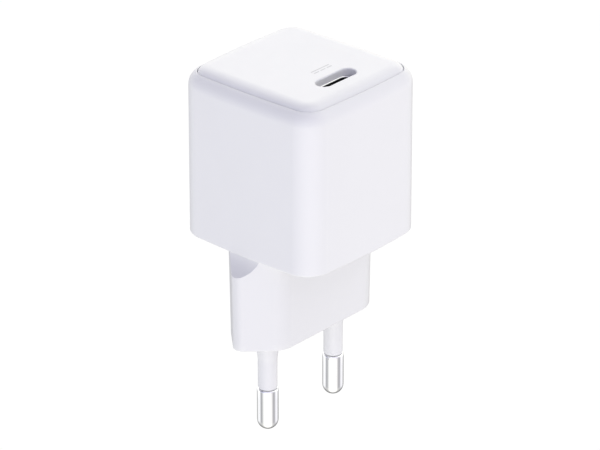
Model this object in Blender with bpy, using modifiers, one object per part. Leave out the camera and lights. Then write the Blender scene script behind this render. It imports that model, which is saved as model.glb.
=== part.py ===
"""Compact single-port USB-C wall charger with a fixed Europlug.

Frame: origin at the centre of the plug's engagement face, +Z towards the
port, X along the line of the two pins, pins pointing to -Z.
"""

import math

import bmesh
import bpy
import numpy as np
from mathutils import Matrix, Vector

MM = 0.001

# ---------------------------------------------------------------- dimensions
# body
BODY_Z = 18.5            # underside of the cube above the engagement face
BODY_HX, BODY_HY = 15.9, 16.44
BODY_CROWN = 0.81        # how far the sides bow out at their middle
BODY_CORNER = 5.03
BODY_FOOT = 0.35         # small round along the lower edge
CREASE_RISE = 31.9       # crease above the cube's underside
CREASE_INSET = 1.45
SHOULDER_RISE = 2.6      # height of the shoulder that rolls in to the crease
WALL = 1.6
# cap
RIM_RADIUS = 4.5
RIM_START = 52.0         # degrees from the horizontal where the rim starts
CAP_WALL = 1.5
SKIRT_DEPTH = 2.6
SKIRT_WALL = 1.0
GAP = 0.3
# port
PORT_Y = -8.4
SLOT_L, SLOT_W = 9.6, 3.26
SHELL_L, SHELL_W, SHELL_T, SHELL_DEPTH = 8.9, 3.12, 0.28, 7.3
# plug body
NECK_T = 6.65            # half thickness
NECK_FACET = 13.32       # distance of the slanted faces from the centre
NECK_ANGLE = 46.1        # their angle, in degrees
NECK_TIP_R, NECK_CORNER_R = 1.85, 5.4
NECK_DRAFT = 0.3         # how much wider it is at its top
NECK_WALL = 1.7
PLATE = 3.0              # thickness of the engagement wall
COVE_R, COVE_X, COVE_Z = 4.9, 20.2, 19.6
# pins
PIN_X = 9.2              # half the pin spacing
PIN_R, PIN_LEN = 2.0, 19.32
SLEEVE_LEN = 10.92
SLEEVE_R, SLEEVE_ROOT_R = 1.8, 2.25
# boards
BOARD_Z, BOARD_T = 22.8, 1.2
PORT_BOARD_Y, PORT_BOARD_T = -11.1, 1.0

CREASE_Z = BODY_Z + CREASE_RISE
RIM_RISE = RIM_RADIUS * (1 - math.sin(math.radians(RIM_START)))
RIM_RUN = RIM_RADIUS * math.cos(math.radians(RIM_START))
TOP_Z = CREASE_Z + RIM_RISE
BOARD_TOP = BOARD_Z + BOARD_T


# ------------------------------------------------------------------- scene
for old in list(bpy.data.objects):
    bpy.data.objects.remove(old, do_unlink=True)

parts = bpy.data.collections.new("usb_c_wall_charger")
cutters = bpy.data.collections.new("cutters")
cutters.hide_render = True
bpy.context.scene.collection.children.link(parts)
bpy.context.scene.collection.children.link(cutters)

COLOURS = {
    "shell_white": ((0.86, 0.86, 0.89), 0.38, 0.0),
    "cap_white": ((0.88, 0.88, 0.91), 0.34, 0.0),
    "plug_white": ((0.85, 0.85, 0.88), 0.40, 0.0),
    "sleeve_white": ((0.84, 0.84, 0.88), 0.42, 0.0),
    "plated_pin": ((0.86, 0.86, 0.88), 0.10, 1.0),
    "bronze": ((0.72, 0.50, 0.28), 0.30, 1.0),
    "board_green": ((0.02, 0.16, 0.07), 0.45, 0.0),
    "shell_steel": ((0.75, 0.75, 0.77), 0.22, 1.0),
    "port_black": ((0.015, 0.015, 0.017), 0.45, 0.0),
    "gold": ((0.83, 0.62, 0.28), 0.22, 1.0),
    "chip_black": ((0.02, 0.02, 0.022), 0.50, 0.0),
    "ferrite": ((0.05, 0.05, 0.055), 0.60, 0.0),
    "bobbin_black": ((0.03, 0.03, 0.032), 0.50, 0.0),
    "copper": ((0.85, 0.42, 0.22), 0.28, 1.0),
    "tape_yellow": ((0.85, 0.62, 0.08), 0.40, 0.0),
    "can_sleeve": ((0.04, 0.05, 0.08), 0.35, 0.0),
    "rubber": ((0.03, 0.03, 0.03), 0.80, 0.0),
    "polymer_can": ((0.80, 0.80, 0.82), 0.25, 1.0),
    "film_yellow": ((0.80, 0.72, 0.30), 0.45, 0.0),
    "ceramic_blue": ((0.05, 0.16, 0.48), 0.45, 0.0),
    "fuse_brown": ((0.20, 0.09, 0.05), 0.45, 0.0),
    "thermistor_green": ((0.04, 0.22, 0.12), 0.50, 0.0),
    "barrier": ((0.80, 0.78, 0.66), 0.40, 0.0),
    "pad_grey": ((0.42, 0.46, 0.55), 0.80, 0.0),
}
materials = {}
for key, (rgb, rough, metal) in COLOURS.items():
    mat = bpy.data.materials.new(key)
    mat.use_nodes = True
    shader = mat.node_tree.nodes["Principled BSDF"]
    shader.inputs["Base Color"].default_value = (*rgb, 1.0)
    shader.inputs["Roughness"].default_value = rough
    shader.inputs["Metallic"].default_value = metal
    mat.diffuse_color = (*rgb, 1.0)
    materials[key] = mat


# ------------------------------------------------------------------ helpers
def place(name, mesh, material=None, where=parts, smooth=None):
    obj = bpy.data.objects.new(name, mesh)
    where.objects.link(obj)
    if material:
        obj.data.materials.append(materials[material])
    if smooth is not None:
        mesh.shade_smooth()
        mesh.set_sharp_from_angle(angle=math.radians(smooth))
    if where is cutters:
        obj.hide_render = True
        obj.display_type = "WIRE"
    return obj


def from_bmesh(name, bm, material=None, where=parts, smooth=None):
    bmesh.ops.recalc_face_normals(bm, faces=bm.faces[:])
    mesh = bpy.data.meshes.new(name)
    bm.to_mesh(mesh)
    bm.free()
    return place(name, mesh, material, where, smooth)


def box(name, lo, hi, material, bevel=0.0, where=parts, segments=1):
    """A block between two corners, in mm, with its edges bevelled."""
    bm = bmesh.new()
    bmesh.ops.create_cube(bm, size=1.0)
    size = [(h - l) * MM for l, h in zip(lo, hi)]
    mid = Vector([(h + l) / 2 * MM for l, h in zip(lo, hi)])
    bmesh.ops.scale(bm, vec=size, verts=bm.verts[:])
    if bevel:
        bmesh.ops.bevel(bm, geom=bm.edges[:], offset=bevel * MM, segments=segments,
                        affect="EDGES", profile=0.5, clamp_overlap=True)
    obj = from_bmesh(name, bm, material, where)
    obj.location = mid
    return obj


def rod(name, r, length, centre, axis="Z", material=None, sides=24, where=parts, bevel=0.0):
    bm = bmesh.new()
    bmesh.ops.create_cone(bm, cap_ends=True, segments=sides, radius1=r * MM,
                          radius2=r * MM, depth=length * MM)
    if bevel:
        rims = [e for e in bm.edges if len({round(v.co.z, 7) for v in e.verts}) == 1]
        bmesh.ops.bevel(bm, geom=rims, offset=bevel * MM, segments=2,
                        affect="EDGES", profile=0.5, clamp_overlap=True)
    obj = from_bmesh(name, bm, material, where, smooth=35)
    obj.location = Vector(centre) * MM
    turn = {"Z": (0, 0, 0), "X": (0, math.pi / 2, 0), "Y": (math.pi / 2, 0, 0)}
    obj.rotation_euler = turn[axis]
    return obj


def turned(name, profile, centre, material, steps=24, smooth=35):
    """A turned piece: (radius, height) pairs in mm, top to bottom down its outer side."""
    mesh = bpy.data.meshes.new(name)
    verts = [(r * MM, 0, z * MM) for r, z in profile]
    mesh.from_pydata(verts, [(i, i + 1) for i in range(len(verts) - 1)], [])
    obj = place(name, mesh, material)
    obj.location = Vector(centre) * MM
    screw = obj.modifiers.new("turn", "SCREW")
    screw.axis = "Z"
    screw.steps = steps
    screw.render_steps = steps
    screw.use_merge_vertices = True
    screw.merge_threshold = 0.000001
    screw.use_smooth_shade = True
    return obj


def closed_turned(name, profile, centre, material, steps=24):
    """The same for a profile that closes on itself away from the axis."""
    bm = bmesh.new()
    rings = []
    for k in range(steps):
        a = 2 * math.pi * k / steps
        rings.append([bm.verts.new((r * math.cos(a) * MM, r * math.sin(a) * MM, z * MM))
                      for r, z in profile])
    n = len(profile)
    for k in range(steps):
        a, b = rings[k], rings[(k + 1) % steps]
        for i in range(n):
            bm.faces.new((a[i], a[(i + 1) % n], b[(i + 1) % n], b[i]))
    obj = from_bmesh(name, bm, material, smooth=35)
    obj.location = Vector(centre) * MM
    return obj


def loft(name, rings, material, caps=(True, True), where=parts, smooth=30):
    """A solid through rings of equal count. With no caps the last ring joins the first."""
    bm = bmesh.new()
    made = [[bm.verts.new(Vector(p) * MM) for p in ring] for ring in rings]
    n = len(rings[0])
    pairs = list(zip(made, made[1:]))
    if not any(caps):
        pairs.append((made[-1], made[0]))
    for a, b in pairs:
        for i in range(n):
            j = (i + 1) % n
            bm.faces.new((a[i], a[j], b[j], b[i]))
    if caps[0]:
        bm.faces.new(made[0])
    if caps[1]:
        bm.faces.new(made[-1])
    return from_bmesh(name, bm, material, where, smooth)


def crowned(hx, hy, crown, corner, z, per_corner=5, per_side=4):
    """A square with bowed sides and round corners, stretched to the half widths hx and hy."""
    a = (hx + hy) / 2
    bow = (a * a + crown * crown) / (2 * crown)          # radius of a side's bow
    k = a - bow                                          # where that radius is centred
    c = (k + math.sqrt(2 * (bow - corner) ** 2 - k * k)) / 2   # centre of the corner round
    bend = math.atan2(c, c - k)
    quarter = []
    for i in range(per_side):
        t = bend * (2 * i / per_side - 1)
        quarter.append((k + bow * math.cos(t), bow * math.sin(t)))
    for i in range(per_corner):
        t = bend + (math.pi / 2 - 2 * bend) * i / per_corner
        quarter.append((c + corner * math.cos(t), c + corner * math.sin(t)))
    out = []
    for x, y in quarter:
        out.append((x * hx / a, y * hy / a, z))
    for q in (1, 2, 3):
        for x, y in quarter:
            u, v = ((-y, x), (-x, -y), (y, -x))[q - 1]
            out.append((u * hx / a, v * hy / a, z))
    return out


def body_ring(inset, z):
    crown = max(BODY_CROWN - 0.215 * inset, 0.1)
    corner = max(BODY_CORNER - 0.86 * inset, 1.2)
    return crowned(BODY_HX - inset, BODY_HY - inset, crown, corner, z)


def hexagon(offset, z, segments=5, tip=None, corner=None):
    """The plug's outline, moved outwards by offset, with rounded corners."""
    phi = math.radians(NECK_ANGLE)
    t = NECK_T + offset
    facet = NECK_FACET + offset
    xv = (facet - t * math.cos(phi)) / math.sin(phi)
    xt = facet / math.sin(phi)
    tip = NECK_TIP_R if tip is None else tip
    corner = NECK_CORNER_R if corner is None else corner
    outline = [(xt, 0, tip), (xv, t, corner), (-xv, t, corner),
               (-xt, 0, tip), (-xv, -t, corner), (xv, -t, corner)]
    pts = []
    for i, (x, y, r) in enumerate(outline):
        p = Vector((x, y))
        a = Vector(outline[i - 1][:2]) - p
        b = Vector(outline[(i + 1) % 6][:2]) - p
        a.normalize()
        b.normalize()
        half = a.angle(b) / 2
        centre = p + (a + b).normalized() * (r / math.sin(half))
        start = p + a * (r / math.tan(half)) - centre
        sweep = math.pi - 2 * half
        for k in range(segments + 1):
            c, s = math.cos(sweep * k / segments), math.sin(sweep * k / segments)
            pts.append((centre.x + start.x * c - start.y * s,
                        centre.y + start.x * s + start.y * c, z))
    return pts


def stadium(length, width, z, x=0.0, y=0.0, segments=6):
    r = width / 2
    pts = []
    for side in (1, -1):
        for k in range(segments + 1):
            a = -math.pi / 2 + math.pi * k / segments
            pts.append((x + side * (length / 2 - r + r * math.cos(a)), y + side * r * math.sin(a), z))
    return pts


def rounded(hx, hy, r, z, x=0.0, y=0.0, segments=3):
    pts = []
    for q in range(4):
        for k in range(segments + 1):
            a = math.pi / 2 * (q + k / segments)
            cx = (hx - r) * (1 if q in (0, 3) else -1)
            cy = (hy - r) * (1 if q in (0, 1) else -1)
            pts.append((x + cx + r * math.cos(a), y + cy + r * math.sin(a), z))
    return pts


def cut(obj, cutter, operation="DIFFERENCE"):
    mod = obj.modifiers.new("cut_" + cutter.name, "BOOLEAN")
    mod.operation = operation
    mod.object = cutter
    mod.solver = "EXACT"
    return mod


# ------------------------------------------------------------------ housing
shoulder_turn = 2 * math.atan2(CREASE_INSET, SHOULDER_RISE)
shoulder_r = SHOULDER_RISE / math.sin(shoulder_turn)
rings = [body_ring(BODY_FOOT, BODY_Z)]
for k in (1, 2):
    a = math.pi / 2 * k / 2
    rings.append(body_ring(BODY_FOOT * (1 - math.sin(a)), BODY_Z + BODY_FOOT * (1 - math.cos(a))))
for k in range(7):
    a = shoulder_turn * k / 6
    rings.append(body_ring(shoulder_r * (1 - math.cos(a)),
                           CREASE_Z - SHOULDER_RISE + shoulder_r * math.sin(a)))
ledge_z = CREASE_Z - 1.1
seat = CREASE_INSET + 1.0
rings.append(body_ring(CREASE_INSET + 0.35, CREASE_Z - 0.25))
rings.append(body_ring(CREASE_INSET + 0.55, ledge_z))
rings.append(body_ring(WALL + 0.95, ledge_z - 0.4))
rings.append(body_ring(WALL, CREASE_Z - 4.4))
rings.append(body_ring(WALL, BODY_Z + WALL))
housing = loft("housing", rings, "shell_white", caps=(True, True), smooth=28)
floor_hole = loft("floor_hole", [hexagon(-3.1, BODY_Z - 1, tip=1.2, corner=2.6),
                                 hexagon(-3.1, BODY_Z + WALL + 1, tip=1.2, corner=2.6)],
                  None, where=cutters)
cut(housing, floor_hole)

# ---------------------------------------------------------------------- cap
rings = []
skirt_out = WALL + 0.95 + GAP
rings.append(body_ring(skirt_out, CREASE_Z - 1.5 - SKIRT_DEPTH + 1.3))
rings.append(body_ring(skirt_out, ledge_z - 0.1))
rings.append(body_ring(CREASE_INSET + 0.55 + GAP, ledge_z + 0.25))
rings.append(body_ring(CREASE_INSET + 0.35 + GAP, CREASE_Z - 0.2))
for k in range(7):
    a = math.radians(RIM_START + (90 - RIM_START) * k / 6)
    run = RIM_RADIUS * (math.cos(math.radians(RIM_START)) - math.cos(a))
    rise = RIM_RADIUS * (math.sin(a) - math.sin(math.radians(RIM_START)))
    rings.append(body_ring(CREASE_INSET + GAP + 0.05 + run, CREASE_Z + rise))
top_cap = loft("top_cap", rings + [], "cap_white", caps=(True, True), smooth=28)
cavity = loft("cap_cavity", [body_ring(skirt_out + SKIRT_WALL, CREASE_Z - 8),
                             body_ring(skirt_out + SKIRT_WALL, TOP_Z - CAP_WALL)],
              None, where=cutters)
slot = loft("port_slot", [stadium(SLOT_L, SLOT_W, TOP_Z - 5, y=PORT_Y),
                          stadium(SLOT_L, SLOT_W, TOP_Z + 2, y=PORT_Y)], None, where=cutters)
cut(top_cap, cavity)
cut(top_cap, slot)

# -------------------------------------------------------------- plug body
neck_top = BODY_Z - GAP
rings = [hexagon(-0.5, 0.0), hexagon(-0.15, 0.15), hexagon(0.0, 0.5),
         hexagon(NECK_DRAFT, neck_top),
         hexagon(-3.1 - GAP, neck_top, tip=1.2, corner=2.6),
         hexagon(-3.1 - GAP, BODY_Z + WALL - 0.1, tip=1.2, corner=2.6)]
plug_neck = loft("plug_neck", rings, "plug_white", caps=(True, True), smooth=28)
neck_cavity = loft("neck_cavity", [rounded(12.2, 3.1, 1.2, PLATE), rounded(12.2, 3.1, 1.2, BODY_Z + 4)],
                   None, where=cutters)
cut(plug_neck, neck_cavity)
for side, tag in ((-1, "a"), (1, "b")):
    cove = rod("cove_" + tag, COVE_R, 24, (side * COVE_X, 0, COVE_Z), "Y", sides=56, where=cutters)
    cut(plug_neck, cove)
    hole = rod("pin_hole_" + tag, SLEEVE_ROOT_R + 0.25, PLATE + 4, (side * PIN_X, 0, PLATE / 2), "Z",
               sides=24, where=cutters)
    cut(plug_neck, hole)

# -------------------------------------------------------------------- pins
TAIL_Z = 8.0
for side, tag in ((-1, "line"), (1, "neutral")):
    profile = [(0, TAIL_Z), (1.15, TAIL_Z), (1.35, TAIL_Z - 0.3), (1.35, -SLEEVE_LEN + 0.0),
               (1.9, -SLEEVE_LEN), (PIN_R, -SLEEVE_LEN - 0.12)]
    dome = -PIN_LEN + PIN_R
    profile.append((PIN_R, dome))
    for k in range(1, 6):
        a = math.pi / 2 * k / 6
        profile.append((PIN_R * math.cos(a), dome - PIN_R * math.sin(a)))
    profile.append((0, -PIN_LEN))
    turned("pin_" + tag, profile, (side * PIN_X, 0, 0), "plated_pin", steps=20)
    low = -SLEEVE_LEN + 0.15
    sleeve = [(1.5, PLATE - 0.1), (SLEEVE_ROOT_R, PLATE - 0.1), (SLEEVE_ROOT_R, 0.0)]
    neck_r = SLEEVE_R + 0.17
    for k in range(1, 4):
        t = k / 3
        sleeve.append((SLEEVE_ROOT_R + (neck_r - SLEEVE_ROOT_R) * (3 * t * t - 2 * t ** 3), -3.4 * t))
    sleeve += [(SLEEVE_R + 0.085, -4.15), (SLEEVE_R, -4.9)]
    sleeve += [(SLEEVE_R, low), (1.5, low)]
    closed_turned("sleeve_" + tag, sleeve, (side * PIN_X, 0, 0), "sleeve_white", steps=20)

# --------------------------------------------------------- contact springs
for side, tag in ((-1, "line"), (1, "neutral")):
    path = [(0.0, TAIL_Z + GAP), (1.5, TAIL_Z + 0.55), (2.35, TAIL_Z + 1.6), (2.4, 17.0),
            (2.0, 18.4), (2.0, BOARD_Z - GAP)]
    bm = bmesh.new()
    half = 1.3 * MM
    prev = None
    for x, z in path:
        pair = [bm.verts.new((side * (PIN_X - 0.6 + x) * MM, y, z * MM)) for y in (-half, half)]
        if prev:
            bm.faces.new((prev[0], prev[1], pair[1], pair[0]))
        prev = pair
    spring = from_bmesh("contact_spring_" + tag, bm, "bronze")
    thick = spring.modifiers.new("sheet", "SOLIDIFY")
    thick.thickness = 0.3 * MM
    thick.offset = 0.0

# ------------------------------------------------------------ main board
main_board = loft("main_board", [rounded(13.4, 13.9, 4.0, BOARD_Z, segments=4),
                                 rounded(13.4, 13.9, 4.0, BOARD_TOP, segments=4)], "board_green")
port_board = box("port_board", (-12.0, PORT_BOARD_Y - PORT_BOARD_T / 2, BOARD_TOP + GAP),
                 (12.0, PORT_BOARD_Y + PORT_BOARD_T / 2, CREASE_Z - 3.2), "board_green")

# ------------------------------------------------------ input protection
box("fuse", (-6.6, -2.1, 13.8), (0.4, 2.1, BOARD_Z - GAP), "fuse_brown", bevel=0.5)
rod("inrush_thermistor", 2.9, 2.8, (4.4, 0, 19.2), "Y", "thermistor_green", sides=20, bevel=0.6)
box("bridge_rectifier", (-11.5, 6.5, BOARD_Z - GAP - 1.5), (-6.0, 11.5, BOARD_Z - GAP), "chip_black", bevel=0.2)
box("power_switch", (2.0, 6.5, BOARD_Z - GAP - 0.9), (8.0, 11.5, BOARD_Z - GAP), "chip_black", bevel=0.12)
box("optocoupler", (-6.0, -11.3, BOARD_Z - GAP - 2.0), (0.8, -7.3, BOARD_Z - GAP), "chip_black", bevel=0.25)

# ------------------------------------------------------------ mains filter
box("x_capacitor", (-12.4, 9.8, BOARD_TOP + GAP), (-5.0, 13.3, BOARD_TOP + 10.4), "film_yellow", bevel=0.4)
cx, cy, cz = -0.7, 11.4, BOARD_TOP + 4.6
closed_turned("choke_core", [(1.6, 1.3), (3.1, 1.3), (3.1, -1.3), (1.6, -1.3)], (0, 0, 0), "ferrite", steps=24)
core = bpy.data.objects["choke_core"]
core.rotation_euler = (math.pi / 2, 0, 0)
core.location = Vector((cx, cy, cz)) * MM
for start, tag in ((-60, "a"), (120, "b")):
    bm = bmesh.new()
    outer = [(1.0, 1.95), (3.75, 1.95), (3.75, -1.95), (1.0, -1.95)]
    inner = [(1.35, 1.55), (3.4, 1.55), (3.4, -1.55), (1.35, -1.55)]
    steps = 9
    made = []
    for k in range(steps + 1):
        a = math.radians(start + 120 * k / steps)
        made.append([[bm.verts.new((cx * MM + r * math.cos(a) * MM, cy * MM + y * MM, cz * MM + r * math.sin(a) * MM))
                      for r, y in prof] for prof in (outer, inner)])
    for k in range(steps):
        for w in (0, 1):
            p, q = made[k][w], made[k + 1][w]
            for i in range(4):
                j = (i + 1) % 4
                bm.faces.new((p[i], p[j], q[j], q[i]))
    for k in (0, steps):
        o, n = made[k]
        for i in range(4):
            j = (i + 1) % 4
            bm.faces.new((o[i], o[j], n[j], n[i]))
    from_bmesh("choke_winding_" + tag, bm, "copper")

# --------------------------------------------------------- bulk capacitors
for y, tag in ((8.6, "a"), (-1.6, "b")):
    base = BOARD_TOP + GAP
    x = 7.9
    can = [(0, base + 19.6), (4.3, base + 19.6), (4.75, base + 19.1), (4.75, base + 2.6),
           (4.35, base + 2.2), (4.35, base + 1.8), (4.75, base + 1.4), (4.75, base + 0.2),
           (4.4, base), (4.0, base), (4.0, base + 1.9), (0, base + 1.9)]
    turned("bulk_capacitor_" + tag, can, (x, y, 0), "can_sleeve", steps=24)
    rod("bulk_seal_" + tag, 3.7, 1.5, (x, y, base + 0.85), "Z", "rubber", sides=20)

# ------------------------------------------------------------- transformer
tx, ty, tz = -6.2, 3.2, BOARD_TOP + 7.6
HALF_W, DEPTH, YOKE, HALF_H = 6.3, 3.2, 2.0, 6.2
for sign, tag in ((-1, "lower"), (1, "upper")):
    outline = [(-HALF_W, 0.15), (-HALF_W, HALF_H), (HALF_W, HALF_H), (HALF_W, 0.15), (4.4, 0.15),
               (4.4, HALF_H - YOKE), (2.0, HALF_H - YOKE), (2.0, 0.15), (-2.0, 0.15),
               (-2.0, HALF_H - YOKE), (-4.4, HALF_H - YOKE), (-4.4, 0.15)]
    bm = bmesh.new()
    face = bm.faces.new([bm.verts.new(((tx + x) * MM, (ty - DEPTH) * MM, (tz + sign * z) * MM)) for x, z in outline])
    grown = bmesh.ops.extrude_face_region(bm, geom=[face])
    bmesh.ops.translate(bm, vec=(0, 2 * DEPTH * MM, 0),
                        verts=[v for v in grown["geom"] if isinstance(v, bmesh.types.BMVert)])
    from_bmesh("transformer_core_" + tag, bm, "ferrite")
h = HALF_H - YOKE - GAP
loft("transformer_bobbin", [
    rounded(2.3, 3.5, 0.2, tz - h, tx, ty, 1), rounded(4.1, 5.7, 0.6, tz - h, tx, ty, 1),
    rounded(4.1, 5.7, 0.6, tz - h + 0.6, tx, ty, 1), rounded(2.9, 4.1, 0.4, tz - h + 0.6, tx, ty, 1),
    rounded(2.9, 4.1, 0.4, tz + h - 0.6, tx, ty, 1), rounded(4.1, 5.7, 0.6, tz + h - 0.6, tx, ty, 1),
    rounded(4.1, 5.7, 0.6, tz + h, tx, ty, 1), rounded(2.3, 3.5, 0.2, tz + h, tx, ty, 1)],
    "bobbin_black", caps=(False, False))
w = h - 0.6 - 0.2
loft("transformer_winding", [
    rounded(3.15, 4.35, 0.5, tz - w, tx, ty, 3), rounded(4.0, 5.5, 0.9, tz - w, tx, ty, 3),
    rounded(4.0, 5.5, 0.9, tz + w, tx, ty, 3), rounded(3.15, 4.35, 0.5, tz + w, tx, ty, 3)],
    "copper", caps=(False, False))
tape_rings = []
for hx_, hz_, y in ((HALF_W + 0.25, HALF_H + 0.25, -2.4), (HALF_W + 0.5, HALF_H + 0.5, -2.4),
                    (HALF_W + 0.5, HALF_H + 0.5, 2.4), (HALF_W + 0.25, HALF_H + 0.25, 2.4)):
    tape_rings.append([(tx + a, ty + y, tz + b) for a, b, _ in rounded(hx_, hz_, 0.4, 0, 0, 0, 2)])
loft("transformer_tape", tape_rings, "tape_yellow", caps=(False, False))

# ------------------------------------------------- isolation and secondary
rod("y_capacitor", 2.9, 2.4, (8.0, -8.5, BOARD_TOP + 3.5), "Y", "ceramic_blue", sides=20, bevel=0.5)
box("insulating_barrier", (-12.6, -3.75, BOARD_TOP + GAP), (2.4, -3.35, BOARD_TOP + 19.0), "barrier")
for x, tag in ((-9.1, "a"), (-2.2, "b")):
    base = BOARD_TOP + GAP
    y = -7.1
    can = [(0, base + 8.6), (2.7, base + 8.6), (3.0, base + 8.3), (3.0, base + 1.7),
           (2.75, base + 1.45), (2.75, base + 1.15), (3.0, base + 0.9), (3.0, base),
           (2.6, base), (2.6, base + 1.2), (0, base + 1.2)]
    turned("output_capacitor_" + tag, can, (x, y, 0), "polymer_can", steps=20)
    rod("output_seal_" + tag, 2.3, 0.8, (x, y, base + 0.5), "Z", "rubber", sides=16)
front = PORT_BOARD_Y - PORT_BOARD_T / 2 - GAP
box("sync_rectifier", (-9.0, front - 1.0, 28.0), (-3.0, front, 33.0), "chip_black", bevel=0.12)
box("output_mosfet", (1.0, front - 0.8, 28.5), (4.3, front, 31.8), "chip_black", bevel=0.1)
box("pd_controller", (-2.0, front - 0.8, 36.0), (2.0, front, 40.0), "chip_black", bevel=0.1)

# -------------------------------------------------------- heat spreading
box("thermal_pad", (-13.2, -1.6, BOARD_TOP + 3.0), (-13.0, 8.0, BOARD_TOP + 13.0), "pad_grey")
box("heat_spreader", (-13.75, -8.5, BOARD_TOP + GAP), (-13.4, 8.5, BOARD_TOP + 20.0), "copper")

# ------------------------------------------------------- USB-C receptacle
mouth_z = TOP_Z - CAP_WALL - GAP
back_z = mouth_z - SHELL_DEPTH
shell = loft("usb_c_shell", [stadium(SHELL_L, SHELL_W, back_z, y=PORT_Y), stadium(SHELL_L, SHELL_W, mouth_z, y=PORT_Y),
                             stadium(SHELL_L - 2 * SHELL_T, SHELL_W - 2 * SHELL_T, mouth_z, y=PORT_Y),
                             stadium(SHELL_L - 2 * SHELL_T, SHELL_W - 2 * SHELL_T, back_z + 0.3, y=PORT_Y)],
             "shell_steel", caps=(True, True), smooth=40)
bm_z = back_z + 0.3 + 0.1
loft("usb_c_tongue", [stadium(7.9, 2.2, bm_z, y=PORT_Y, segments=4), stadium(7.9, 2.2, bm_z + 1.3, y=PORT_Y, segments=4),
                      stadium(6.7, 0.8, bm_z + 1.3, y=PORT_Y, segments=4), stadium(6.7, 0.8, mouth_z - 0.9, y=PORT_Y, segments=4)],
     "port_black", caps=(True, True), smooth=40)
for side, tag in ((-1, "front"), (1, "back")):
    y0 = PORT_Y + side * 0.5
    lo, hi = bm_z + 1.5, mouth_z - 1.5
    bm = bmesh.new()
    outline = [(-2.95, lo), (2.95, lo), (2.95, lo + 0.5)]
    for k in range(12):
        x = 2.875 - 0.5 * k
        outline += [(x, lo + 0.5), (x, hi), (x - 0.25, hi), (x - 0.25, lo + 0.5)]
    outline.append((-2.95, lo + 0.5))
    face = bm.faces.new([bm.verts.new((x * MM, (y0 - 0.05) * MM, z * MM)) for x, z in outline])
    grown = bmesh.ops.extrude_face_region(bm, geom=[face])
    bmesh.ops.translate(bm, vec=(0, 0.1 * MM, 0),
                        verts=[v for v in grown["geom"] if isinstance(v, bmesh.types.BMVert)])
    from_bmesh("contact_row_" + tag, bm, "gold")
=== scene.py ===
"""Looks of the compact USB-C wall charger: fine moulded shells, plated pins and
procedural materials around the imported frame. Lengths in this file are in mm
unless a name says otherwise, and are scaled to metres when a mesh is made."""

import math

import bmesh
import bpy
from mathutils import Matrix, Vector


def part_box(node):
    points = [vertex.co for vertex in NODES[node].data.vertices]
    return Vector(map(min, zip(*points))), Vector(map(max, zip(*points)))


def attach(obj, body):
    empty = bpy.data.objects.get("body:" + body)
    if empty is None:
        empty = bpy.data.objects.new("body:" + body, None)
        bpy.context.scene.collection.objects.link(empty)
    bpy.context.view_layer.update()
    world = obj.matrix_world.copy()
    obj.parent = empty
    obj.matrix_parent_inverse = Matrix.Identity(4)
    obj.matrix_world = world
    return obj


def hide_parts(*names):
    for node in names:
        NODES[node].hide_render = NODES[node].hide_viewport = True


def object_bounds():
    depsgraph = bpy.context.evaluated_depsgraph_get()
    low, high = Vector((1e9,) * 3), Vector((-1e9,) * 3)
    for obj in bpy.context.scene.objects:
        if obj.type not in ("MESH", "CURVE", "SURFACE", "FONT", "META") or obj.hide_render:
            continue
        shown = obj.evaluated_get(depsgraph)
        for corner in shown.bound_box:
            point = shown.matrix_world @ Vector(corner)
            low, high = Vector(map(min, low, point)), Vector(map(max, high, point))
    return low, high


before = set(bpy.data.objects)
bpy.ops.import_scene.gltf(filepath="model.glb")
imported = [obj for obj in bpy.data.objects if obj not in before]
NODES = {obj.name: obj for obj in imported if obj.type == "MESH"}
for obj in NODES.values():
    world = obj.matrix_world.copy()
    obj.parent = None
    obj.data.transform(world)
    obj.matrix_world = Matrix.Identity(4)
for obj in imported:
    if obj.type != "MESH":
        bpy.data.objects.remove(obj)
cad_lo, cad_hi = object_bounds()
SCENE = bpy.context.scene
MM = 0.001


# ------------------------------------------------------------ sizes from CAD
def extent(node):
    lo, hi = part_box(node)
    return [v * 1000 for v in lo], [v * 1000 for v in hi]


house_lo, house_hi = extent("housing")
cap_lo, cap_hi = extent("top_cap")
neck_lo, neck_hi = extent("plug_neck")
pin_lo, pin_hi = extent("pin_neutral")
sleeve_lo, sleeve_hi = extent("sleeve_neutral")
port_lo, port_hi = extent("usb_c_shell")

BODY_Z = house_lo[2]
BODY_HX, BODY_HY = house_hi[0], house_hi[1]
CREASE_Z = house_hi[2]
TOP_Z = cap_hi[2]
PIN_X = (pin_lo[0] + pin_hi[0]) / 2
PIN_END = pin_lo[2]
SLEEVE_END = sleeve_lo[2]
PORT_Y = (port_lo[1] + port_hi[1]) / 2
MOUTH_Z, SHELL_BACK = port_hi[2], port_lo[2]

BODY_CROWN, BODY_CORNER = 0.81, 5.03
CREASE_INSET, SHOULDER_RISE = 1.45, 2.6
WALL = 1.6
RIM_RADIUS, RIM_START = 4.5, 52.0
ROLL_BREAK, ROLL_END, DIP = 19.0, 72.0, 0.42
CAP_WALL = 1.5
NECK_T, NECK_FACET, NECK_ANGLE = 6.65, 13.32, 46.1
NECK_TIP_R, NECK_CORNER_R, NECK_DRAFT = 1.85, 5.4, 0.3
COVE_R, COVE_X, COVE_Z = 4.9, 20.2, BODY_Z + 1.1
SLOT_L, SLOT_W = 9.6, 3.12


# ------------------------------------------------------------------- meshes
def finish_mesh(name, bm, sharp=30, weighted=False):
    bmesh.ops.recalc_face_normals(bm, faces=bm.faces[:])
    mesh = bpy.data.meshes.new(name)
    bm.to_mesh(mesh)
    bm.free()
    obj = bpy.data.objects.new(name, mesh)
    SCENE.collection.objects.link(obj)
    mesh.shade_smooth()
    mesh.set_sharp_from_angle(angle=math.radians(sharp))
    if weighted:
        soften(obj)
    return obj


def soften(obj):
    """Normals weighted by face area, so that large flats stay flat beside small rounds."""
    mod = obj.modifiers.new("weighted_normals", "WEIGHTED_NORMAL")
    mod.mode = "FACE_AREA"
    mod.weight = 100
    mod.keep_sharp = True


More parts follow.
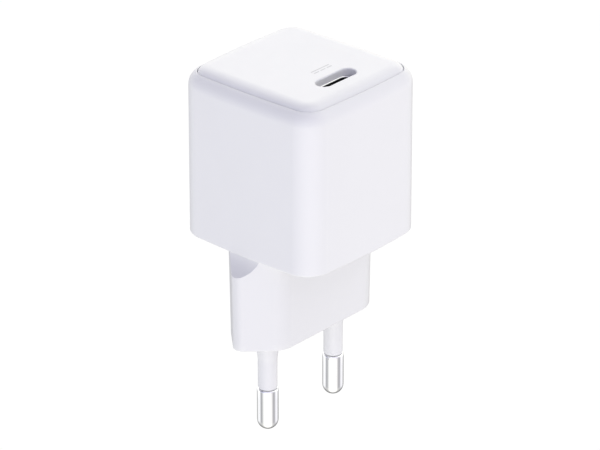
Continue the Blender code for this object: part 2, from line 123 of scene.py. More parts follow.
def loft(name, rings, caps=(True, True), sharp=30):
    bm = bmesh.new()
    made = [[bm.verts.new(Vector(p) * MM) for p in ring] for ring in rings]
    n = len(rings[0])
    pairs = list(zip(made, made[1:]))
    if not any(caps):
        pairs.append((made[-1], made[0]))
    for a, b in pairs:
        for i in range(n):
            j = (i + 1) % n
            bm.faces.new((a[i], a[j], b[j], b[i]))
    if caps[0]:
        bm.faces.new(made[0])
    if caps[1]:
        bm.faces.new(made[-1])
    return finish_mesh(name, bm, sharp)


def turned(name, profile, centre, steps=72, closed=False, sharp=30):
    """A turned piece from (radius, height) pairs; closed means that the profile joins itself."""
    bm = bmesh.new()
    cx, cy = centre
    rings = []
    for r, z in profile:
        if r < 1e-6:
            rings.append([bm.verts.new(Vector((cx, cy, z)) * MM)])
        else:
            rings.append([bm.verts.new(Vector((cx + r * math.cos(2 * math.pi * k / steps),
                                               cy + r * math.sin(2 * math.pi * k / steps), z)) * MM)
                          for k in range(steps)])
    pairs = list(zip(rings, rings[1:]))
    if closed:
        pairs.append((rings[-1], rings[0]))
    for a, b in pairs:
        for k in range(steps):
            m = (k + 1) % steps
            face = [a[k % len(a)], a[m % len(a)], b[m % len(b)], b[k % len(b)]]
            face = [v for i, v in enumerate(face) if v not in face[:i]]
            if len(face) > 2:
                bm.faces.new(face)
    return finish_mesh(name, bm, sharp)


def crowned(hx, hy, crown, corner, z, per_corner=22, per_side=30):
    """A square with bowed sides and round corners, stretched to the half widths hx and hy."""
    a = (hx + hy) / 2
    bow = (a * a + crown * crown) / (2 * crown)
    k = a - bow
    c = (k + math.sqrt(2 * (bow - corner) ** 2 - k * k)) / 2
    bend = math.atan2(c, c - k)
    quarter = []
    for i in range(per_side):
        t = bend * (2 * i / per_side - 1)
        quarter.append((k + bow * math.cos(t), bow * math.sin(t)))
    for i in range(per_corner):
        t = bend + (math.pi / 2 - 2 * bend) * i / per_corner
        quarter.append((c + corner * math.cos(t), c + corner * math.sin(t)))
    out = []
    for q in range(4):
        for x, y in quarter:
            u, v = ((x, y), (-y, x), (-x, -y), (y, -x))[q]
            out.append((u * hx / a, v * hy / a, z))
    return out


def body_ring(inset, z):
    crown = max(BODY_CROWN - 0.215 * inset, 0.1)
    corner = max(BODY_CORNER - 0.86 * inset, 1.2)
    return crowned(BODY_HX - inset, BODY_HY - inset, crown, corner, z)


def hexagon(offset, z, tip=NECK_TIP_R, corner=NECK_CORNER_R, segments=14, flats=(9, 22)):
    """The plug's outline, moved outwards by offset, with rounded corners and divided flats."""
    phi = math.radians(NECK_ANGLE)
    t = NECK_T + offset
    facet = NECK_FACET + offset
    xv = (facet - t * math.cos(phi)) / math.sin(phi)
    xt = facet / math.sin(phi)
    outline = [(xt, 0, tip), (xv, t, corner), (-xv, t, corner),
               (-xt, 0, tip), (-xv, -t, corner), (xv, -t, corner)]
    arcs = []
    for i, (x, y, r) in enumerate(outline):
        p = Vector((x, y))
        a = (Vector(outline[i - 1][:2]) - p).normalized()
        b = (Vector(outline[(i + 1) % 6][:2]) - p).normalized()
        half = a.angle(b) / 2
        centre = p + (a + b).normalized() * (r / math.sin(half))
        start = p + a * (r / math.tan(half)) - centre
        sweep = math.pi - 2 * half
        arcs.append([(centre.x + start.x * math.cos(sweep * k / segments) - start.y * math.sin(sweep * k / segments),
                      centre.y + start.x * math.sin(sweep * k / segments) + start.y * math.cos(sweep * k / segments))
                     for k in range(segments + 1)])
    pts = []
    for i in range(6):
        pts += arcs[i]
        a, b = arcs[i][-1], arcs[(i + 1) % 6][0]
        count = flats[1] if i in (1, 4) else flats[0]
        for k in range(1, count):
            pts.append((a[0] + (b[0] - a[0]) * k / count, a[1] + (b[1] - a[1]) * k / count))
    return [(x * 0.9989, y, z) for x, y in pts]


def stadium(length, width, z, x=0.0, y=0.0, segments=24, per_side=10):
    r = width / 2
    pts = []
    for side in (1, -1):
        for k in range(segments + 1):
            a = -math.pi / 2 + math.pi * k / segments
            pts.append((x + side * (length / 2 - r + r * math.cos(a)), y + side * r * math.sin(a), z))
        sx = side * (length / 2 - r)
        for k in range(1, per_side):
            pts.append((x + sx - 2 * sx * k / per_side, y + side * r, z))
    return pts


def cylinder(name, r, length, centre, axis="Z", sides=96):
    bm = bmesh.new()
    bmesh.ops.create_cone(bm, cap_ends=True, segments=sides, radius1=r * MM, radius2=r * MM, depth=length * MM)
    turn = {"Z": Matrix.Identity(3), "Y": Matrix.Rotation(math.pi / 2, 3, "X")}[axis]
    bmesh.ops.rotate(bm, matrix=turn, verts=bm.verts[:])
    bmesh.ops.translate(bm, vec=Vector(centre) * MM, verts=bm.verts[:])
    return finish_mesh(name, bm)


def cut_away(obj, cutters, sharp=30):
    """Boolean cuts, applied, with the cutters removed afterwards."""
    for c in cutters:
        mod = obj.modifiers.new("cut", "BOOLEAN")
        mod.operation = "DIFFERENCE"
        mod.object = c
        mod.solver = "EXACT"
    graph = bpy.context.evaluated_depsgraph_get()
    mesh = bpy.data.meshes.new_from_object(obj.evaluated_get(graph))
    obj.modifiers.clear()
    old = obj.data
    obj.data = mesh
    bpy.data.meshes.remove(old)
    for c in cutters:
        data = c.data
        bpy.data.objects.remove(c)
        bpy.data.meshes.remove(data)
    mesh.name = obj.name
    mesh.shade_smooth()
    mesh.set_sharp_from_angle(angle=math.radians(sharp))
    soften(obj)


def arc(start, stop, steps):
    return [math.radians(start + (stop - start) * k / steps) for k in range(steps + 1)]


# housing: foot round, bowed sides, shoulder that rolls in, small lip, ledge
FOOT, LIP, CREST = 0.35, 0.10, 0.09
turn = 2 * math.atan2(CREASE_INSET, SHOULDER_RISE)
shoulder_r = SHOULDER_RISE / math.sin(turn)
rings = [body_ring(FOOT + 0.25, BODY_Z)]
for a in arc(0, 90, 7):
    rings.append(body_ring(FOOT * (1 - math.sin(a)), BODY_Z + FOOT * (1 - math.cos(a))))
for z in (0.8, 4, 8, 12, 16, 20, 24, 27):
    rings.append(body_ring(0, BODY_Z + z))
for k in range(19):
    a = turn * k / 18
    rings.append(body_ring(shoulder_r * (1 - math.cos(a)), CREASE_Z - SHOULDER_RISE
                           + shoulder_r * math.sin(a) - LIP * (1 - math.sin(turn))))
lip_z = CREASE_Z - LIP
lip_in = CREASE_INSET + LIP * math.cos(turn)
for a in arc(math.degrees(turn), 90, 5)[1:]:
    rings.append(body_ring(lip_in - LIP * math.cos(a), lip_z + LIP * math.sin(a)))
for a in arc(90, 180, 4):
    rings.append(body_ring(lip_in + CREST - 0.05 * math.cos(a), CREASE_Z - 0.05 + 0.05 * math.sin(a)))
ledge_z = CREASE_Z - 1.1
rings.append(body_ring(lip_in + CREST + 0.06, ledge_z))
rings.append(body_ring(WALL + 0.95, ledge_z - 0.4))
rings.append(body_ring(WALL, CREASE_Z - 4.4))
rings.append(body_ring(WALL, BODY_Z + WALL))
housing = loft("housing_shell", rings, sharp=35)
cut_away(housing, [loft("floor_hole", [hexagon(-3.1, BODY_Z - 1, tip=1.2, corner=2.6),
                                       hexagon(-3.1, BODY_Z + WALL + 1, tip=1.2, corner=2.6)])], sharp=35)

# cap: skirt, tucked edge, rolled rim, flat top with the port slot
SEAM = 0.03
edge = lip_in + CREST + 0.05 + SEAM
skirt = WALL + 0.95 + 0.3
rings = [body_ring(skirt, CREASE_Z - 2.8), body_ring(skirt, ledge_z - 0.1),
         body_ring(edge + 0.12, ledge_z + 0.25), body_ring(edge + 0.02, CREASE_Z - DIP - 0.1)]
# The rim rolls over in two arcs, a tight one out of the crease and a wide one into the flat top.
t1, t2 = math.radians(ROLL_BREAK), math.radians(ROLL_END)
run = RIM_RADIUS * math.cos(math.radians(RIM_START)) - 0.1
rise = TOP_Z - CREASE_Z + DIP
a1, a2 = 1 - math.cos(t1), math.cos(t1) - math.cos(t2)
b1, b2 = math.sin(t1), math.sin(t2) - math.sin(t1)
wide = (rise * b2 - run * a2) / (a1 * b2 - b1 * a2)
tight = (rise - a1 * wide) / a2
for k in range(13):
    a = t2 + (t1 - t2) * k / 12
    rings.append(body_ring(edge + tight * (math.sin(t2) - math.sin(a)), CREASE_Z - DIP + tight * (math.cos(a) - math.cos(t2))))
inset_1, z_1 = edge + tight * b2, CREASE_Z - DIP + tight * a2
for k in range(1, 19):
    a = t1 * (1 - k / 18)
    rings.append(body_ring(inset_1 + wide * (math.sin(t1) - math.sin(a)), z_1 + wide * (math.cos(a) - math.cos(t1))))
top_cap = loft("cap_shell", rings, sharp=35)
cavity = loft("cavity", [body_ring(skirt + 1.0, CREASE_Z - 8), body_ring(skirt + 1.0, TOP_Z - CAP_WALL)])
SLOT_EASE = 0.28
slot_rings = [stadium(SLOT_L, SLOT_W, TOP_Z - 5, y=PORT_Y), stadium(SLOT_L, SLOT_W, TOP_Z - 1.0, y=PORT_Y)]
for a in arc(0, 86, 8):
    out = SLOT_EASE * (1 - math.cos(a))
    slot_rings.append(stadium(SLOT_L + 2 * out, SLOT_W + 2 * out, TOP_Z - SLOT_EASE * (1 - math.sin(a)), y=PORT_Y))
out = SLOT_EASE * (1 - math.cos(math.radians(86)))
slot_rings.append(stadium(SLOT_L + 2 * out + 0.04, SLOT_W + 2 * out + 0.04, TOP_Z + 0.4, y=PORT_Y))
port_slot = loft("port_slot", slot_rings)
cut_away(top_cap, [cavity, port_slot], sharp=35)

# plug body: foot round, draft, coves under the cube, hollow, spigot into the housing
NECK_FOOT = 0.36
neck_top = BODY_Z - 0.03
levels = [NECK_FOOT + 0.02] + [1.5 + 1.3 * k for k in range(10)] + [14.2 + 0.3 * k for k in range(15)]
rings = [hexagon(-NECK_FOOT - 0.2, 0)]
for a in arc(0, 90, 9):
    rings.append(hexagon(-NECK_FOOT * (1 - math.sin(a)), NECK_FOOT * (1 - math.cos(a))))
for z in [z for z in levels if z < neck_top - 0.05] + [neck_top]:
    rings.append(hexagon(NECK_DRAFT * z / neck_top, z))
rings.append(hexagon(-3.4, neck_top, tip=1.2, corner=2.6))
rings.append(hexagon(-3.4, BODY_Z + WALL - 0.1, tip=1.2, corner=2.6))
neck = loft("plug_body", rings, sharp=35)
cutters = [loft("neck_cavity", [[(12.0 * sx, 3.1 * sy, z) for sx, sy in ((1, 1), (-1, 1), (-1, -1), (1, -1))]
                                for z in (3.0, BODY_Z + 4)])]
for side in (-1, 1):
    cutters.append(cylinder("cove", COVE_R, 24, (side * COVE_X, 0, COVE_Z), "Y", 180))
    cutters.append(cylinder("hole", sleeve_hi[0] - PIN_X + 0.06, 8, (side * PIN_X, 0, 1), "Z", 72))
cut_away(neck, cutters, sharp=35)

# sleeves and pins
root_r = sleeve_hi[0] - PIN_X
sleeves, pins = [], []
for side, tag in ((-1, "line"), (1, "neutral")):
    profile = [(1.45, 2.9), (root_r, 2.9), (root_r, 0.05)]
    for k in range(1, 21):
        z = -6.0 * k / 20
        t = min(max(-z / 3.4, 0), 1)
        u = min(max((-z - 3.4) / 1.5, 0), 1)
        profile.append((root_r - (root_r - 1.97) * (t * t * (3 - 2 * t)) - 0.15 * (u * u * (3 - 2 * u)), z))
    profile += [(1.81, -8.0), (1.80, SLEEVE_END + 0.3)]
    for a in arc(0, 90, 7):
        profile.append((1.80 - 0.2 * (1 - math.cos(a)), SLEEVE_END + 0.21 - 0.2 * math.sin(a)))
    profile += [(1.45, SLEEVE_END + 0.01)]
    sleeves.append(turned("pin_sleeve_" + tag, profile, (side * PIN_X, 0), closed=True))

    R, shoulder = 2.0, SLEEVE_END - 0.06
    profile = [(0, 8.0), (1.1, 8.0), (1.33, 7.75), (1.33, shoulder + 0.0), (R - 0.26, shoulder)]
    for a in arc(90, 0, 8)[1:]:
        profile.append((R - 0.26 + 0.26 * math.cos(a), shoulder - 0.36 + 0.36 * math.sin(a)))
    for z in (-13.0, -15.0, -16.4):
        profile.append((R, z))
    dome = PIN_END + R
    for a in arc(0, 90, 24)[:-1]:
        profile.append((R * math.cos(a), dome - R * math.sin(a)))
    profile.append((0, PIN_END))
    pins.append(turned("contact_pin_" + tag, profile, (side * PIN_X, 0), steps=96))

# port shell: drawn stadium with a rolled mouth; its inner walls below the bevel are black as painted shade
L, W = port_hi[0] - port_lo[0] - 0.04, port_hi[1] - port_lo[1] - 0.04
T = 0.26
RIM_TOP, BEVEL = TOP_Z - CAP_WALL + 0.13, 0.13
rings = [stadium(L, W, SHELL_BACK, y=PORT_Y), stadium(L, W, RIM_TOP - 0.02, y=PORT_Y)]
for a in arc(0, 90, 4)[1:]:
    rings.append(stadium(L - 0.04 * (1 - math.cos(a)), W - 0.04 * (1 - math.cos(a)), RIM_TOP - 0.02 + 0.02 * math.sin(a), y=PORT_Y))
inner = T - BEVEL
rings.append(stadium(L - 2 * inner, W - 2 * inner, RIM_TOP, y=PORT_Y))
for a in arc(20, 65, 6):
    c = (math.sin(a) - math.sin(math.radians(20))) / (math.sin(math.radians(65)) - math.sin(math.radians(20)))
    d = (math.cos(math.radians(20)) - math.cos(a)) / (math.cos(math.radians(20)) - math.cos(math.radians(65)))
    rings.append(stadium(L - 2 * inner - 2 * BEVEL * c - 0.01, W - 2 * inner - 2 * BEVEL * c - 0.01, RIM_TOP - 0.005 - BEVEL * d, y=PORT_Y))
rings.append(stadium(L - 2 * T - 0.012, W - 2 * T - 0.012, RIM_TOP - BEVEL - 0.03, y=PORT_Y))
rings.append(stadium(L - 2 * T - 0.012, W - 2 * T - 0.012, SHELL_BACK + 0.3, y=PORT_Y))
port_shell = loft("port_shell", rings, sharp=40)


# ---------------------------------------------------------------- materials
def new_material(name):
    mat = bpy.data.materials.new(name)
    mat.use_nodes = True
    tree = mat.node_tree
    tree.nodes.clear()
    out = tree.nodes.new("ShaderNodeOutputMaterial")
    bsdf = tree.nodes.new("ShaderNodeBsdfPrincipled")
    tree.links.new(bsdf.outputs[0], out.inputs[0])
    return mat, tree, bsdf


def coordinates(tree, scale=(1, 1, 1)):
    tex = tree.nodes.new("ShaderNodeTexCoord")
    mapping = tree.nodes.new("ShaderNodeMapping")
    mapping.inputs["Scale"].default_value = scale
    tree.links.new(tex.outputs["Object"], mapping.inputs["Vector"])
    return mapping.outputs[0]


def noise(tree, vector, scale, detail=2.0, rough=0.5):
    n = tree.nodes.new("ShaderNodeTexNoise")
    n.inputs["Scale"].default_value = scale
    n.inputs["Detail"].default_value = detail
    n.inputs["Roughness"].default_value = rough
    tree.links.new(vector, n.inputs["Vector"])
    return n.outputs["Fac"]


def ramp(tree, fac, low, high, lo=0.3, hi=0.7):
    """Colour between two colours as fac goes from lo to hi."""
    r = tree.nodes.new("ShaderNodeValToRGB")
    r.color_ramp.elements[0].position = lo
    r.color_ramp.elements[1].position = hi
    r.color_ramp.elements[0].color = (*low, 1)
    r.color_ramp.elements[1].color = (*high, 1)
    tree.links.new(fac, r.inputs["Fac"])
    return r.outputs["Color"]


def spread(tree, fac, low, high):
    m = tree.nodes.new("ShaderNodeMapRange")
    m.inputs["From Min"].default_value = 0.3
    m.inputs["From Max"].default_value = 0.7
    m.inputs["To Min"].default_value = low
    m.inputs["To Max"].default_value = high
    tree.links.new(fac, m.inputs["Value"])
    return m.outputs[0]


def bump(tree, bsdf, height, strength, distance):
    b = tree.nodes.new("ShaderNodeBump")
    b.inputs["Strength"].default_value = strength
    b.inputs["Distance"].default_value = distance
    tree.links.new(height, b.inputs["Height"])
    tree.links.new(b.outputs[0], bsdf.inputs["Normal"])


def shade(colour, k):
    return tuple(min(1.0, c * k) for c in colour)


def surface(name, colour, rough, metallic=0.0, vary=0.03, grain=2500.0, grain_depth=0.000002,
            grain_strength=0.25, scale=(1, 1, 1), rough_vary=0.05, specular=0.5, coat=0.0, mottle=90.0):
    """A surface with slow colour drift, uneven gloss and a fine moulding or rolling grain."""
    mat, tree, bsdf = new_material(name)
    v = coordinates(tree, scale)
    slow = noise(tree, v, mottle, 3.0)
    tree.links.new(ramp(tree, slow, shade(colour, 1 - vary), shade(colour, 1 + vary)), bsdf.inputs["Base Color"])
    uneven = noise(tree, v, mottle * 6, 4.0, 0.6)
    tree.links.new(spread(tree, uneven, max(rough - rough_vary, 0.02), rough + rough_vary), bsdf.inputs["Roughness"])
    bump(tree, bsdf, noise(tree, v, grain, 2.0), grain_strength, grain_depth)
    bsdf.inputs["Metallic"].default_value = metallic
    bsdf.inputs["Specular IOR Level"].default_value = specular
    bsdf.inputs["Coat Weight"].default_value = coat
    return mat


WHITE = (0.80, 0.80, 0.82)
shell_white = surface("shell_white", WHITE, 0.36, vary=0.006, grain=5200, grain_depth=0.0000015, grain_strength=0.2)
# Painted shade: the plug and its sleeves take the shell's white made 3.5% darker, deepening the shade under the cube.
plug_white = surface("plug_white", shade(WHITE, 0.965), 0.38, vary=0.006, grain=5200, grain_depth=0.0000015, grain_strength=0.2)
sleeve_white = surface("sleeve_white", shade(WHITE, 0.965), 0.42, vary=0.008, grain=4200, grain_depth=0.0000015, grain_strength=0.2)
plated = surface("plated_pin", (0.93, 0.93, 0.95), 0.06, 1.0, vary=0.01, grain=900, grain_depth=0.000001,
                 grain_strength=0.06, scale=(1, 1, 6), rough_vary=0.015)
steel = surface("shell_steel", (0.82, 0.82, 0.84), 0.2, 1.0, vary=0.03, grain=3000, grain_strength=0.12, scale=(1, 1, 0.15))
# Black for the tongue. The same black on the port shell's inner walls is painted shade, standing in for the shade
# deep in the port.
black_and_painted_shade = surface("port_black", (0.006, 0.006, 0.007), 0.5, vary=0.2, grain=5000)


def printed_white(name):
    """The cap's plastic with a pale grey direct-current sign, one line over three dashes, printed beside the port."""
    mat = surface(name, WHITE, 0.36, vary=0.006, grain=5200, grain_depth=0.0000015, grain_strength=0.2)
    tree = mat.node_tree
    bsdf = next(n for n in tree.nodes if n.type == "BSDF_PRINCIPLED")
    base = bsdf.inputs["Base Color"].links[0].from_socket
    tex = tree.nodes.new("ShaderNodeTexCoord")
    split = tree.nodes.new("ShaderNodeSeparateXYZ")
    tree.links.new(tex.outputs["Object"], split.inputs[0])

    def math_node(op, a, b):
        n = tree.nodes.new("ShaderNodeMath")
        n.operation = op
        for i, x in enumerate((a, b)):
            if isinstance(x, (int, float)):
                n.inputs[i].default_value = x
            else:
                tree.links.new(x, n.inputs[i])
        return n.outputs[0]

    def inside(socket, centre, half, soft=0.00003):
        d = math_node("ABSOLUTE", math_node("SUBTRACT", socket, centre), 0.0)
        m = tree.nodes.new("ShaderNodeMapRange")
        m.inputs["From Min"].default_value = half - soft
        m.inputs["From Max"].default_value = half + soft
        m.inputs["To Min"].default_value = 1.0
        m.inputs["To Max"].default_value = 0.0
        tree.links.new(d, m.inputs["Value"])
        return m.outputs[0]

    x, y, z = split.outputs
    cx, cy = 0.0010, -0.0041
    marks = [math_node("MULTIPLY", inside(x, cx, 0.0024), inside(y, cy + 0.00036, 0.00014))]
    for k in (-1, 0, 1):
        marks.append(math_node("MULTIPLY", inside(x, cx + k * 0.00174, 0.00066), inside(y, cy - 0.00036, 0.00014)))
    total = marks[0]
    for m in marks[1:]:
        total = math_node("MAXIMUM", total, m)
    total = math_node("MULTIPLY", total, inside(z, TOP_Z * MM, 0.0002))
    mix = tree.nodes.new("ShaderNodeMix")
    mix.data_type = "RGBA"
    tree.links.new(total, mix.inputs["Factor"])
    tree.links.new(base, mix.inputs["A"])
    mix.inputs["B"].default_value = (0.56, 0.56, 0.58, 1)
    tree.links.new(mix.outputs["Result"], bsdf.inputs["Base Color"])
    return mat


cap_white = printed_white("cap_white")


def wound(name, colour, rough, scale, direction, metallic=1.0):
    """Turns of enamelled wire, as fine parallel ridges, with painted shade in the troughs between them."""
    mat, tree, bsdf = new_material(name)
    v = coordinates(tree)
    wave = tree.nodes.new("ShaderNodeTexWave")
    wave.wave_type = "BANDS"
    wave.bands_direction = direction
    wave.inputs["Scale"].default_value = scale
    wave.inputs["Distortion"].default_value = 0.6
    tree.links.new(v, wave.inputs["Vector"])
    # Painted shade: the base colour drops to 0.45 of the copper in the troughs between turns.
    tree.links.new(ramp(tree, wave.outputs["Fac"], shade(colour, 0.45), colour, 0.05, 0.6), bsdf.inputs["Base Color"])
    tree.links.new(spread(tree, noise(tree, v, 500), rough - 0.05, rough + 0.08), bsdf.inputs["Roughness"])
    bump(tree, bsdf, wave.outputs["Fac"], 0.8, 0.0001)
    bsdf.inputs["Metallic"].default_value = metallic
    return mat


def board(name):
    """Green solder mask over copper tracks, with pale vias."""
    mat, tree, bsdf = new_material(name)
    v = coordinates(tree)
    cells = tree.nodes.new("ShaderNodeTexBrick")
    cells.inputs["Scale"].default_value = 260
    cells.inputs["Mortar Size"].default_value = 0.03
    cells.inputs["Color1"].default_value = (0.02, 0.17, 0.075, 1)
    cells.inputs["Color2"].default_value = (0.03, 0.22, 0.10, 1)
    cells.inputs["Mortar"].default_value = (0.012, 0.10, 0.045, 1)
    tree.links.new(v, cells.inputs["Vector"])
    dots = tree.nodes.new("ShaderNodeTexVoronoi")
    dots.inputs["Scale"].default_value = 420
    tree.links.new(v, dots.inputs["Vector"])
    mix = tree.nodes.new("ShaderNodeMix")
    mix.data_type = "RGBA"
    m = tree.nodes.new("ShaderNodeMapRange")
    m.inputs["From Min"].default_value = 0.10
    m.inputs["From Max"].default_value = 0.13
    m.inputs["To Min"].default_value = 1.0
    m.inputs["To Max"].default_value = 0.0
    tree.links.new(dots.outputs["Distance"], m.inputs["Value"])
    tree.links.new(m.outputs[0], mix.inputs["Factor"])
    tree.links.new(cells.outputs["Color"], mix.inputs["A"])
    mix.inputs["B"].default_value = (0.62, 0.60, 0.52, 1)
    tree.links.new(mix.outputs["Result"], bsdf.inputs["Base Color"])
    tree.links.new(spread(tree, noise(tree, v, 900), 0.32, 0.48), bsdf.inputs["Roughness"])
    bump(tree, bsdf, cells.outputs["Fac"], 0.2, 0.00002)
    return mat


INNER = {
    "bronze": surface("phosphor_bronze", (0.72, 0.50, 0.28), 0.3, 1.0, vary=0.08, grain=2500, scale=(1, 1, 0.2)),
    "board": board("board_green"),
    "gold": surface("gold_plate", (0.86, 0.64, 0.28), 0.22, 1.0, vary=0.04),
    "chip": surface("moulding_compound", (0.02, 0.02, 0.022), 0.5, vary=0.25, grain=4000, grain_strength=0.4),
    "ferrite": surface("ferrite", (0.05, 0.05, 0.055), 0.6, vary=0.25, grain=2600, grain_strength=0.6, mottle=600),
    "bobbin": surface("phenolic", (0.03, 0.03, 0.032), 0.45, vary=0.2),
    "copper_z": wound("winding_copper", (0.85, 0.42, 0.22), 0.28, 900, "Z"),
    "copper_x": wound("choke_copper", (0.85, 0.42, 0.22), 0.28, 700, "X"),
    "copper_sheet": surface("copper_sheet", (0.85, 0.45, 0.25), 0.3, 1.0, vary=0.08, grain=1800, scale=(1, 1, 0.1)),
    "tape": surface("polyester_tape", (0.85, 0.62, 0.08), 0.35, vary=0.08, specular=0.6),
    "sleeve": surface("shrink_sleeve", (0.04, 0.05, 0.08), 0.33, vary=0.12),
    "rubber": surface("seal_rubber", (0.03, 0.03, 0.03), 0.8, vary=0.2, grain=1800, grain_strength=0.5),
    "can": surface("drawn_aluminium", (0.8, 0.8, 0.82), 0.25, 1.0, vary=0.04, grain=2400, scale=(1, 1, 0.1)),
    "film": surface("film_case", (0.80, 0.72, 0.30), 0.45, vary=0.06),
    "ceramic": surface("ceramic_disc", (0.05, 0.16, 0.48), 0.42, vary=0.15),
    "fuse": surface("fuse_case", (0.20, 0.09, 0.05), 0.45, vary=0.15),
    "thermistor": surface("thermistor_disc", (0.04, 0.22, 0.12), 0.5, vary=0.15),
    "barrier": surface("insulating_sheet", (0.80, 0.78, 0.66), 0.4, vary=0.05, grain=900),
    "pad": surface("silicone_pad", (0.42, 0.46, 0.55), 0.8, vary=0.08, grain=1500, grain_strength=0.5),
}
INNER_OF = {
    "contact_spring_line": "bronze", "contact_spring_neutral": "bronze", "main_board": "board", "port_board": "board",
    "contact_row_front": "gold", "contact_row_back": "gold", "bridge_rectifier": "chip", "power_switch": "chip",
    "optocoupler": "chip", "sync_rectifier": "chip", "output_mosfet": "chip", "pd_controller": "chip",
    "choke_core": "ferrite", "transformer_core_lower": "ferrite", "transformer_core_upper": "ferrite",
    "transformer_bobbin": "bobbin", "transformer_winding": "copper_z", "choke_winding_a": "copper_x",
    "choke_winding_b": "copper_x", "heat_spreader": "copper_sheet", "transformer_tape": "tape",
    "bulk_capacitor_a": "sleeve", "bulk_capacitor_b": "sleeve", "bulk_seal_a": "rubber", "bulk_seal_b": "rubber",
    "output_seal_a": "rubber", "output_seal_b": "rubber", "output_capacitor_a": "can", "output_capacitor_b": "can",
    "x_capacitor": "film", "y_capacitor": "ceramic", "fuse": "fuse", "inrush_thermistor": "thermistor",
    "insulating_barrier": "barrier", "thermal_pad": "pad",
}


def dress(obj, *mats):
    obj.data.materials.clear()
    for m in mats:
        obj.data.materials.append(m)


for node, key in INNER_OF.items():
    dress(NODES[node], INNER[key])
dress(NODES["usb_c_tongue"], black_and_painted_shade)

for piece, node, slot_name, mats in (
        (housing, "housing", "shell_white", [shell_white]),
        (top_cap, "top_cap", "cap_white", [cap_white]),
        (neck, "plug_neck", "plug_white", [plug_white]),
        (sleeves[0], "sleeve_line", "sleeve_white", [sleeve_white]),
        (sleeves[1], "sleeve_neutral", "sleeve_white", [sleeve_white]),
        (pins[0], "pin_line", "plated_pin", [plated]),
        (pins[1], "pin_neutral", "plated_pin", [plated]),
        (port_shell, "usb_c_shell", "shell_steel", [steel, black_and_painted_shade])):
    dress(piece, *mats)
    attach(piece, "root")
    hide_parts(node)
# Painted shade: the shell's inner walls below the bevel take the black material in place of steel.
for poly in port_shell.data.polygons:
    x, y = poly.center.x * 1000, poly.center.y * 1000 - PORT_Y
    straight = (L - W) / 2
    r = math.hypot(max(abs(x) - straight, 0), y)
    if r < W / 2 - T + 0.02 and poly.center.z * 1000 < RIM_TOP - BEVEL - 0.028:
        poly.material_index = 1

# -------------------------------------------------------------------- stage
cam_data = bpy.data.cameras.new("view")
camera = bpy.data.objects.new("view", cam_data)
SCENE.collection.objects.link(camera)
SCENE.camera = camera
TARGET = Vector((0, 0, (BODY_Z + 0.1) * MM))
AZ, EL, DIST = math.radians(41.389), math.radians(26.132), 0.80946
away = Vector((-math.cos(EL) * math.cos(AZ), -math.cos(EL) * math.sin(AZ), math.sin(EL)))
camera.location = TARGET + away * DIST
camera.rotation_mode = "QUATERNION"
camera.rotation_quaternion = (-away).to_track_quat("-Z", "Y")
cam_data.sensor_width = 36.0
cam_data.lens = 264.83
cam_data.shift_x, cam_data.shift_y = -0.00100, 0.00467
cam_data.clip_start, cam_data.clip_end = 0.01, 20.0

floor_mesh = bpy.data.meshes.new("floor")
bm = bmesh.new()
bmesh.ops.create_grid(bm, x_segments=1, y_segments=1, size=3.0)
bmesh.ops.translate(bm, vec=(0, 0, cad_lo.z - 0.0002), verts=bm.verts[:])
bm.to_mesh(floor_mesh)
bm.free()
floor = bpy.data.objects.new("floor", floor_mesh)
SCENE.collection.objects.link(floor)
floor_mat = bpy.data.materials.new("pale_floor")
floor_mat.use_nodes = True
ft = floor_mat.node_tree
ft.nodes.clear()
f_out = ft.nodes.new("ShaderNodeOutputMaterial")
f_emit = ft.nodes.new("ShaderNodeEmission")
f_emit.inputs["Color"].default_value = (1, 1, 1, 1)
f_emit.inputs["Strength"].default_value = 1.02
f_clear = ft.nodes.new("ShaderNodeBsdfTransparent")
f_mix = ft.nodes.new("ShaderNodeMixShader")
f_geo = ft.nodes.new("ShaderNodeNewGeometry")
ft.links.new(f_geo.outputs["Backfacing"], f_mix.inputs[0])
ft.links.new(f_emit.outputs[0], f_mix.inputs[1])
ft.links.new(f_clear.outputs[0], f_mix.inputs[2])
ft.links.new(f_mix.outputs[0], f_out.inputs[0])
floor_mesh.materials.append(floor_mat)
floor.visible_diffuse = False
floor.visible_glossy = False
floor.visible_transmission = False
floor.visible_shadow = False

# Soft studio light: broad lobes of the surroundings, by direction.
# (azimuth from the camera's side, elevation, sharpness, colour)
LOBES = [
    (0, -70, 6.0, (1.37, 1.36, 1.30)),
    (0, -40, 6.0, (1.20, 1.20, 1.09)),
    (0, -10, 6.0, (0.08, 0.08, 0.06)),
    (36, -10, 6.0, (0.46, 0.45, 0.47)),
    (108, -10, 6.0, (1.33, 1.32, 1.36)),
    (-108, -10, 6.0, (1.40, 1.41, 1.41)),
    (-36, -10, 6.0, (0.53, 0.54, 0.51)),
    (18, 20, 6.0, (0.32, 0.27, 0.39)),
    (162, 20, 6.0, (1.32, 1.31, 1.08)),
    (-162, 20, 6.0, (1.19, 1.17, 1.15)),
    (-54, 20, 6.0, (0.00, 0.00, 0.16)),
    (-18, 20, 6.0, (0.73, 0.75, 0.85)),
    (45, 50, 6.0, (0.40, 0.38, 0.47)),
    (90, 50, 6.0, (1.14, 1.18, 1.08)),
    (180, 50, 6.0, (0.58, 0.58, 0.67)),
    (71, -26, 50.0, (-0.22, -0.22, -0.21)),
    (-71, -26, 50.0, (-0.26, -0.26, -0.25)),
    (165, -26, 14.0, (-0.12, -0.12, -0.10)),
]
BASE = (0.0, 0.0, 0.0)

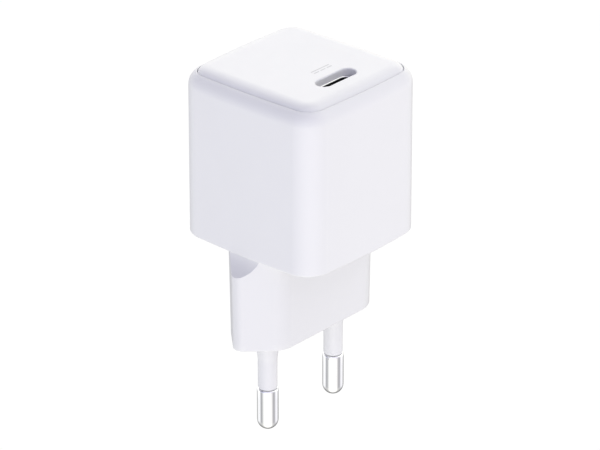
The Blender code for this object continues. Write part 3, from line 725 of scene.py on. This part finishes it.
world = bpy.data.worlds.new("studio")
SCENE.world = world
world.use_nodes = True
wt = world.node_tree
wt.nodes.clear()
w_out = wt.nodes.new("ShaderNodeOutputWorld")
w_light = wt.nodes.new("ShaderNodeBackground")
w_back = wt.nodes.new("ShaderNodeBackground")
w_back.inputs["Color"].default_value = (1, 1, 1, 1)
w_back.inputs["Strength"].default_value = 1.02
w_path = wt.nodes.new("ShaderNodeLightPath")
w_mix = wt.nodes.new("ShaderNodeMixShader")
wt.links.new(w_path.outputs["Is Camera Ray"], w_mix.inputs[0])
wt.links.new(w_light.outputs[0], w_mix.inputs[1])
wt.links.new(w_back.outputs[0], w_mix.inputs[2])
wt.links.new(w_mix.outputs[0], w_out.inputs[0])
w_tex = wt.nodes.new("ShaderNodeTexCoord")


def lobe_axis(az, el):
    """az is measured round the vertical from the camera's side, positive to the camera's right."""
    a, e = math.radians(az), math.radians(el)
    toward = Vector((away.x, away.y, 0)).normalized()
    right = Vector((-toward.y, toward.x, 0))
    return toward * (math.cos(a) * math.cos(e)) + right * (math.sin(a) * math.cos(e)) + Vector((0, 0, math.sin(e)))


total = None
for az, el, sharp, colour in LOBES:
    dot = wt.nodes.new("ShaderNodeVectorMath")
    dot.operation = "DOT_PRODUCT"
    wt.links.new(w_tex.outputs["Generated"], dot.inputs[0])
    dot.inputs[1].default_value = lobe_axis(az, el)
    lin = wt.nodes.new("ShaderNodeMath")
    lin.operation = "MULTIPLY_ADD"
    wt.links.new(dot.outputs["Value"], lin.inputs[0])
    lin.inputs[1].default_value = sharp
    lin.inputs[2].default_value = -sharp
    power = wt.nodes.new("ShaderNodeMath")
    power.operation = "EXPONENT"
    wt.links.new(lin.outputs[0], power.inputs[0])
    scaled = wt.nodes.new("ShaderNodeVectorMath")
    scaled.operation = "SCALE"
    scaled.inputs[0].default_value = colour
    wt.links.new(power.outputs[0], scaled.inputs["Scale"])
    add = wt.nodes.new("ShaderNodeVectorMath")
    add.operation = "ADD"
    wt.links.new(scaled.outputs[0], add.inputs[0])
    if total is None:
        add.inputs[1].default_value = BASE
    else:
        wt.links.new(total, add.inputs[1])
    total = add.outputs[0]
wt.links.new(total, w_light.inputs["Color"])
SCENE.view_settings.view_transform = "Standard"
